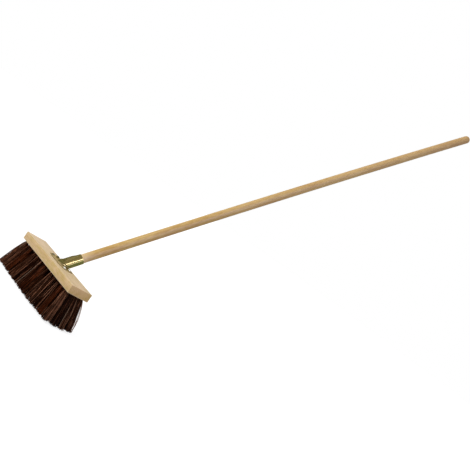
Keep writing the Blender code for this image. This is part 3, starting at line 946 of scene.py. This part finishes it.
def build_holder(material):
    """One pressed sheet. Its skin is fused and eased first, then it is bored, slit and drilled."""
    thick = SHEET + OVERRUN
    flange = curve_mesh("pressed_holder", [flange_outline()], 0.0, 0, closed=True, flat=thick)
    place_on(weld(flange), Matrix.Translation((0.0, 0.0, FLANGE_BOTTOM + SHEET - thick / 2)))
    tube = place_on(stack_rings("tube", tube_profile(TUBE_RADIUS), TUBE_SIDES), axis_matrix())
    holder = join([flange, tube, rib("rib", RIB_RADIUS)])
    apply_modifier(
        holder, "REMESH", mode="VOXEL", voxel_size=SKIN_VOXEL, adaptivity=0.0, use_smooth_shade=True
    )
    ease_creases(holder)
    near, far = CLEAR_REACH, CLEAR_REACH * 2
    cut(holder, box("below", (-far, -far, -far), (far, far, FLANGE_BOTTOM)))
    mouth = box("past_mouth", (-near, -near, TUBE_LENGTH - MOUTH_TRIM), (near, near, far))
    cut(holder, place_on(mouth, axis_matrix()))
    cut(holder, rib("rib_hollow", RIB_RADIUS - SHEET, RIB_HOLLOW_INSET))
    bore = stack_rings("bore", tube_profile(BORE_RADIUS, OVERRUN), TUBE_SIDES)
    cut(holder, place_on(bore, axis_matrix()))
    seam = box("seam", (-SEAM_WIDTH / 2, 0.0, -near), (SEAM_WIDTH / 2, near, near))
    cut(holder, place_on(seam, axis_matrix()))
    for place in screw_places():
        low, high = place.z - SCREW_LENGTH, place.z + OVERRUN
        cut(holder, cylinder("hole", SHANK_HOLE_RADIUS, low, high, DRILL_SIDES, place))
    side = cylinder("side_hole", SHANK_HOLE_RADIUS, -SCREW_LENGTH, OVERRUN, DRILL_SIDES)
    cut(holder, place_on(side, handle_screw_matrix()))
    smooth(holder, 40.0)
    return finish_piece(holder, material, "handle_holder")


def wall_radius(station):
    """The tube's outer radius at a station: tapered from its mouth, flared towards its foot."""
    flare = max(0.0, 1 - station / FLARE_LENGTH)
    return TUBE_RADIUS + min(TUBE_TAPER, taper_at(station)) + FLARE_SPREAD * flare**2


def ease_creases(holder):
    """Softens the inner corners, where the tube and the rib rise out of the sheet."""
    group = holder.vertex_groups.new(name="creases")
    inverse = axis_matrix().inverted()
    top = FLANGE_BOTTOM + SHEET
    eased = []
    for vert in holder.data.vertices:
        local = inverse @ vert.co
        off_tube = math.hypot(local.x, local.y) - wall_radius(local.z)
        near_tube = max(0.0, 1 - abs(off_tube) / FILLET_REACH)
        near_sheet = max(0.0, 1 - abs(vert.co.z - top) / FILLET_REACH)
        near_rib = max(0.0, 1 - max(0.0, abs(local.x) - RIB_RADIUS) / RIB_EASING) if local.y < 0 else 0.0
        weight = max(near_tube * near_sheet, RIB_EASING_SHARE * near_rib * near_tube)
        if vert.co.z < top - SHEET * SHEET_EDGE_SHARE:
            weight = 0.0
        eased.append(weight)
        group.add([vert.index], weight, "REPLACE")
    factor, passes = CREASE_SMOOTHING
    apply_modifier(holder, "SMOOTH", factor=factor, iterations=passes, vertex_group="creases")
    factor, passes = SKIN_SMOOTHING
    apply_modifier(holder, "SMOOTH", factor=factor, iterations=passes)
    true_walls(holder, eased)


def true_walls(holder, eased):
    """Brings the skin of the tube and of the sheet back to their exact round and flat surfaces."""
    matrix = axis_matrix()
    inverse = matrix.inverted()
    top = FLANGE_BOTTOM + SHEET
    rib_line = TUBE_RADIUS + RIB_TUBE_HEIGHT - RIB_RADIUS
    for vert, weight in zip(holder.data.vertices, eased):
        local = inverse @ vert.co
        radial = math.hypot(local.x, local.y)
        wall = wall_radius(local.z)
        hold = max(0.0, 1 - weight * WALL_HOLD)
        if abs(radial - wall) < SKIN_VOXEL and vert.co.z > top + SKIN_VOXEL:
            scale = 1 + hold * (wall / radial - 1)
            vert.co = matrix @ Vector((local.x * scale, local.y * scale, local.z))
        elif local.y < 0 and RIB_BEND * 2 < local.z < TUBE_LENGTH - RIB_END_TO_MOUTH - RIB_END_TAPER:
            off = math.hypot(local.x, local.y + rib_line)
            if abs(off - RIB_RADIUS) < SKIN_VOXEL:
                scale = RIB_RADIUS / off
                depth = (local.y + rib_line) * scale - rib_line
                vert.co = matrix @ Vector((local.x * scale, depth, local.z))
        elif abs(vert.co.z - top) < SKIN_VOXEL / 2:
            vert.co.z += hold * (top - vert.co.z)


def handle_screw_matrix():
    """The seat of the screw through the tube's left side."""
    wall = TUBE_RADIUS + taper_at(HANDLE_SCREW_STATION)
    seat = Matrix.Translation((-wall - SEAT_GAP, 0.0, 0.0))
    return axis_matrix(HANDLE_SCREW_STATION) @ seat @ Matrix.Rotation(-math.pi / 2, 4, "Y")


def screw_shape():
    """A round head with a cross recess, on a plain shank with a point."""
    profile = [
        (END_FLAT_RADIUS, -SCREW_LENGTH),
        (SHANK_RADIUS, -SCREW_LENGTH + POINT_LENGTH),
        (SHANK_RADIUS, 0.0),
        (HEAD_RADIUS - HEAD_EASING, 0.0),
        (HEAD_RADIUS, HEAD_EASING),
        (HEAD_RADIUS, HEAD_RIM),
    ]
    for step in range(1, HEAD_STEPS):
        turn = math.pi / 2 * step / HEAD_STEPS
        profile.append((HEAD_RADIUS * math.cos(turn), HEAD_RIM + (HEAD_DOME - HEAD_RIM) * math.sin(turn)))
    profile.append((END_FLAT_RADIUS, HEAD_DOME))
    screw = stack_rings("screw", profile, SCREW_SIDES)
    floor = HEAD_DOME - RECESS_DEPTH
    low = (-RECESS_REACH, -RECESS_HALF_WIDTH, floor)
    high = (RECESS_REACH, RECESS_HALF_WIDTH, HEAD_DOME + OVERRUN)
    for turn in (0.0, math.pi / 2):
        arm = box("recess", low, high)
        edit(arm, "FACE")
        pick(arm, "faces", lambda face: face.normal.z < -0.5)
        bpy.ops.transform.resize(value=RECESS_FLOOR_SHARES, center_override=(0.0, 0.0, floor))
        done()
        arm.matrix_world = Matrix.Rotation(turn, 4, "Z")
        cut(screw, settle(arm))
    smooth(screw, 30.0)
    return screw


def build_screws(material):
    """Copies of one screw, each driven in to another turn."""
    model = screw_shape()
    seats = {f"holder_screw_{n}": Matrix.Translation(place) for n, place in enumerate(screw_places(), 1)}
    seats["handle_screw"] = handle_screw_matrix()
    screws = []
    for index, (name, matrix) in enumerate(seats.items()):
        only(model)
        bpy.ops.object.duplicate()
        screw = new_piece(f"round_head_{name}")
        place_on(screw, matrix @ Matrix.Rotation(SCREW_TURN * index, 4, "Z"))
        screws.append(finish_piece(screw, material, name))
    bpy.data.objects.remove(model, do_unlink=True)
    return screws


def disc_place(draw, index, count, scatter):
    """One of the places that fill a disc of radius 1 evenly, each a golden turn on from the last."""
    share = math.sqrt((index + 0.5) / count)
    turn = index * GOLDEN_TURN + draw.uniform(-scatter, scatter)
    return Vector((math.cos(turn), math.sin(turn), 0.0)) * share


class Lock:
    """A handful of strands that cling together at their tips and share a tone."""

    def __init__(self, draw, index):
        self.place = disc_place(draw, index, LOCKS, LOCK_TURN_SCATTER)
        self.tone = draw.choice(LOCK_TONES)
        self.lift = abs(draw.gauss(0.0, TIP_WAVER))


def strand_path(draw, root, tip, place, lock, splay, powers):
    """One strand: it leaves its packed root, splays between the block and the floor, and waves."""
    share = place.length
    gather = place.lerp(lock.place, LOCK_PULL)
    gather += Vector((draw.gauss(0.0, GATHER_SCATTER), draw.gauss(0.0, GATHER_SCATTER), 0.0))
    spread = Vector((gather.x * TIP_ALONG, gather.y * TIP_ACROSS, 0.0)) * splay
    lift = TIP_RISE * share**RISE_POWER + lock.lift + abs(draw.gauss(0.0, TIP_WAVER))
    start = root + place * ROOT_RADIUS
    side = Vector((-place.y, place.x, 0.0)) / max(share, LEAST_SHARE)
    wave = draw.gauss(0.0, STRAND_WAVE)
    phase = draw.uniform(0.0, 2 * math.pi)
    power = draw.uniform(*powers)
    path = [start + Vector((0.0, 0.0, ROOT_BURY))]
    for step in range(STRAND_STEPS + 1):
        run = (step / STRAND_STEPS) ** RUN_POWER
        point = root.lerp(tip, run) + (place * ROOT_RADIUS).lerp(spread, run**power)
        point += side * (wave * math.sin(phase + run * WAVE_TURN) * run)
        point.z = start.z + (tip.z + lift - start.z) * run
        path.append(point)
    return path


def stray_path(draw, root, tip):
    """A loose strand outside an end tuft: it bulges away from the block's middle and falls back in."""
    side = math.copysign(1.0, root.x)
    away = Vector((side, side * draw.uniform(*STRAY_TURNS), 0.0)).normalized()
    bulge = draw.uniform(*STRAY_BULGES) * (1.0 if side > 0 else STRAY_LEFT_SHARE)
    reach = draw.uniform(*STRAY_REACHES)
    lift = draw.uniform(0.0, STRAY_RISE)
    start = ROOT_RADIUS * STRAY_START_SHARE
    path = [root + away * ROOT_RADIUS * STRAY_START_SHARE + Vector((0.0, 0.0, ROOT_BURY))]
    for step in range(STRAND_STEPS + 1):
        run = (step / STRAND_STEPS) ** RUN_POWER
        spread = start + (TIP_ALONG * reach - start) * run**STRAY_POWER
        point = root.lerp(tip, run) + away * (spread + bulge * math.sin(math.pi * run))
        point.z = root.z + (tip.z + lift - root.z) * run
        path.append(point)
    return path


def ramp(value, low, high):
    """0 below low, 1 above high, and smooth between them."""
    share = max(0.0, min(1.0, (value - low) / (high - low)))
    return share * share * (3 - 2 * share)


def worn_tip(name, root, tip):
    """The tips have set with use: the front row's middle bows forward, and the right end is worn short."""
    row = int(name.split("_")[1]) - 1
    half = BLOCK_HIGH.x
    bow = FRONT_BULGE * (1 - (root.x / half) ** 2) if row == 0 else 0.0
    lift = END_LIFTS[row] * ramp(root.x, END_LIFT_START, END_LIFT_FULL)
    return tip + Vector((0.0, -bow, lift))


def tuft_red(name, root, draw):
    """How rusty the tuft's colour is, from 0 to 1: more to the left of the block's middle."""
    red = draw.gauss(RED_SHARES[root.x > 0], RED_SCATTER)
    return 1.0 if name in RUSTY_TUFTS else max(0.0, min(1.0, red))


def third_tone(root):
    """How much paler the strands are in this third of the block."""
    share = (root.x - BLOCK_LOW.x) / (BLOCK_HIGH.x - BLOCK_LOW.x)
    return THIRD_TONES[min(2, int(3 * share))]


def splay_powers(name, root):
    """The front row's inner tufts splay late, and the left end's soonest."""
    if abs(root.x) < INNER_FRONT_REACH and name.startswith("tuft_1"):
        return SLOW_SPLAY
    return LEFT_END_SPLAY if name.endswith("_01") else QUICK_SPLAY


def build_tuft(name, material, draw):
    """A tuft of strands in locks, with its strays. Each strand's tone goes with the mesh."""
    root, tip = tuft_frame(name)
    tip = worn_tip(name, root, tip)
    paths, radii, tones = [], [], []
    red = tuft_red(name, root, draw)
    locks = [Lock(draw, index) for index in range(LOCKS)]
    powers = splay_powers(name, root)
    pale_share = END_PALE_SHARE if name.endswith("_01") else PALE_SHARE
    for index in range(STRANDS):
        place = disc_place(draw, index, STRANDS, TURN_SCATTER)
        lock = min(locks, key=lambda one: (one.place - place).length)
        splay = 1.0
        if place.length > OUTER_SHARE:
            splay += max(0.0, draw.gauss(*OUTER_FLING))
        paths.append(strand_path(draw, root, tip, place, lock, splay, powers))
        thick = draw.uniform(*THICKNESS_SHARES)
        radii.append([thick] * (STRAND_STEPS + 1) + [thick * TIP_THICKNESS_SHARE])
        tone = lock.tone + third_tone(root) + draw.gauss(0.0, TONE_SCATTER)
        tone = min(TONE_LIMIT, max(0.0, tone))
        tones.append(PALE_TONE if draw.random() < pale_share else tone)
    loose = random.Random(name)
    for _ in range(STRAYS.get(name, 0)):
        paths.append(stray_path(loose, root, tip))
        thick, thin = STRAY_THICKNESS_SHARES
        radii.append([thick] * (STRAND_STEPS + 1) + [thin])
        tones.append(loose.choice(STRAY_TONES))
    tuft = curve_mesh(f"bristle_{name}", paths, STRAND_RADIUS, 0, radii)
    count = len(tuft.data.vertices)
    per_strand = count // len(paths)
    shades = tuft.data.attributes.new("strand_tone", "FLOAT", "POINT")
    shades.data.foreach_set("value", [tones[index // per_strand] for index in range(count)])
    reds = tuft.data.attributes.new("tuft_red", "FLOAT", "POINT")
    reds.data.foreach_set("value", [red] * count)
    tuft.data.shade_smooth()
    return finish_piece(tuft, material, name)


def build_tufts(material):
    draw = random.Random(TUFT_SEED)
    return [build_tuft(name, material, draw) for name in tuft_names()]


# Stage


def seen_directly(board):
    """1 for what the camera sees, in a reflection too, and 0 for the light that falls on things."""
    path = board.add("ShaderNodeLightPath").outputs
    seen = board.math("MAXIMUM", path["Is Camera Ray"], path["Is Glossy Ray"])
    return board.math("MAXIMUM", seen, path["Is Transmission Ray"])


def build_floor():
    """A plain floor that the camera sees as white, apart from the broom's soft shadow."""
    bpy.ops.mesh.primitive_plane_add(size=FLOOR_SIZE, location=(0.0, 0.0, 0.0))
    floor = new_piece("floor")
    material, board, shader = new_material("white_floor")
    shader.inputs["Base Color"].default_value = (FLOOR_TONE, FLOOR_TONE, FLOOR_TONE, 1.0)
    shader.inputs["Roughness"].default_value = 0.9
    shader.inputs["Emission Color"].default_value = (1.0, 1.0, 1.0, 1.0)
    board.link(board.times(seen_directly(board), FLOOR_GLOW), shader.inputs["Emission Strength"])
    floor.data.materials.append(material)


def build_world():
    world = bpy.data.worlds.new("white_room")
    world.use_nodes = True
    world.node_tree.nodes.clear()
    board = Board(world.node_tree)
    strength = board.ramp(seen_directly(board), 0.0, 1.0, WORLD_LIGHT, 1.0)
    background = board.add("ShaderNodeBackground")
    background.inputs["Color"].default_value = (1.0, 1.0, 1.0, 1.0)
    board.link(strength, background.inputs["Strength"])
    output = board.add("ShaderNodeOutputWorld")
    board.link(background.outputs[0], output.inputs["Surface"])
    bpy.context.scene.world = world


def add_sun(name, towards, strength, angle):
    light = bpy.data.lights.new(name, "SUN")
    light.energy = strength
    light.angle = angle
    lamp = bpy.data.objects.new(name, light)
    bpy.context.scene.collection.objects.link(lamp)
    lamp.rotation_euler = Vector(towards).normalized().to_track_quat("Z", "Y").to_euler()


def add_strip(name, towards, size, power):
    """A soft strip that only shows as a reflection, with its long side along the tube."""
    light = bpy.data.lights.new(name, "AREA")
    light.shape = "RECTANGLE"
    light.size, light.size_y = size
    light.energy = power
    light.color = STRIP_COLOUR
    lamp = bpy.data.objects.new(name, light)
    bpy.context.scene.collection.objects.link(lamp)
    back = Vector(towards).normalized()
    across = AXIS_DIRECTION.cross(back).normalized()
    turn = Matrix((across, back.cross(across), back)).transposed().to_4x4()
    tube = AXIS_FOOT + AXIS_DIRECTION * TUBE_LENGTH / 2
    lamp.matrix_world = Matrix.Translation(tube + back * STRIP_DISTANCE) @ turn
    lamp.visible_diffuse = False


def build_lights():
    add_sun("key", *KEY_SUN)
    add_sun("fill", *FILL_SUN)
    add_strip("streak", *STREAK_STRIP)
    add_strip("streak_tail", *TAIL_STRIP)


def build_camera():
    data = bpy.data.cameras.new("photo_camera")
    data.sensor_fit = "HORIZONTAL"
    data.sensor_width = SENSOR_WIDTH
    data.lens = CAMERA_LENS
    camera = bpy.data.objects.new("photo_camera", data)
    bpy.context.scene.collection.objects.link(camera)
    back = -CAMERA_FORWARD.normalized()
    right = CAMERA_UP.cross(back).normalized()
    up = back.cross(right)
    turn = Matrix((right, up, back)).transposed().to_4x4()
    camera.matrix_world = Matrix.Translation(CAMERA_PLACE) @ turn
    bpy.context.scene.camera = camera


def main():
    bpy.ops.object.select_all(action="DESELECT")
    bpy.context.scene.view_settings.view_transform = "Standard"
    build_camera()
    build_world()
    build_lights()
    build_floor()
    pieces = [build_block(block_wood()), build_handle(handle_wood()), build_holder(passivated_steel())]
    pieces += build_screws(screw_steel())
    pieces += build_tufts(bristle_fibre())
    for piece in pieces:
        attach(piece, BODY)


main()
